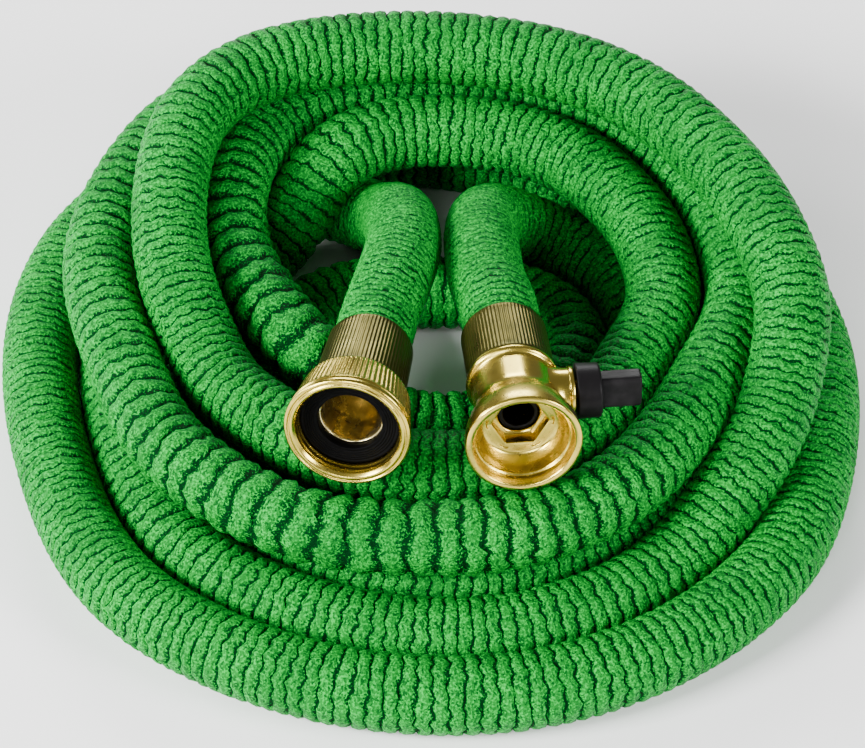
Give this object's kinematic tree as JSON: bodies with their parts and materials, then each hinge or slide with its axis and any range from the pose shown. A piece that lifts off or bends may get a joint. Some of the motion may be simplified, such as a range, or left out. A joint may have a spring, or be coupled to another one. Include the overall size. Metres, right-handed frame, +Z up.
{
  "type": "expanding garden hose",
  "caption": "Fabric-sleeved expanding garden hose in a loose coil, with a brass swivel coupling on one end and a brass shut-off valve with a black handle on the other",
  "frame": {"origin": "the middle of the bounding box, on the ground that the coil lies on", "axes": "+Z up, -Y to the front, where the mouths of both fittings point; +X to the right"},
  "size_m": [0.243, 0.2693, 0.0755],
  "materials": {
    "green_fabric": "matt woven polyester, gathered in cross ribs",
    "brass": "turned and knurled, satin",
    "black_rubber": "matt",
    "black_plastic": "satin"
  },
  "bodies": {
    "hose": {"hose_sleeve": "green_fabric", "coupling_ferrule": "brass", "coupling_spigot": "brass", "valve_ferrule": "brass", "valve_body": "brass", "valve_seat": "black_rubber"},
    "nut": {"swivel_nut": "brass", "rubber_washer": "black_rubber"},
    "handle": {"valve_handle": "black_plastic", "valve_stem": "brass", "valve_ball": "brass"}
  },
  "joints": [
    {"name": "nut_swivel", "type": "hinge", "parent": "hose", "child": "nut", "pos_m": [-0.02035, -0.06619, 0.05769], "axis": [-0.1518, -0.983, 0.1029], "continuous": true},
    {"name": "handle_turn", "type": "hinge", "parent": "hose", "child": "handle", "pos_m": [0.02309, -0.05627, 0.0552], "axis": [0.9948, 0.1016, 0], "range_deg": [0, 90]}
  ]
}
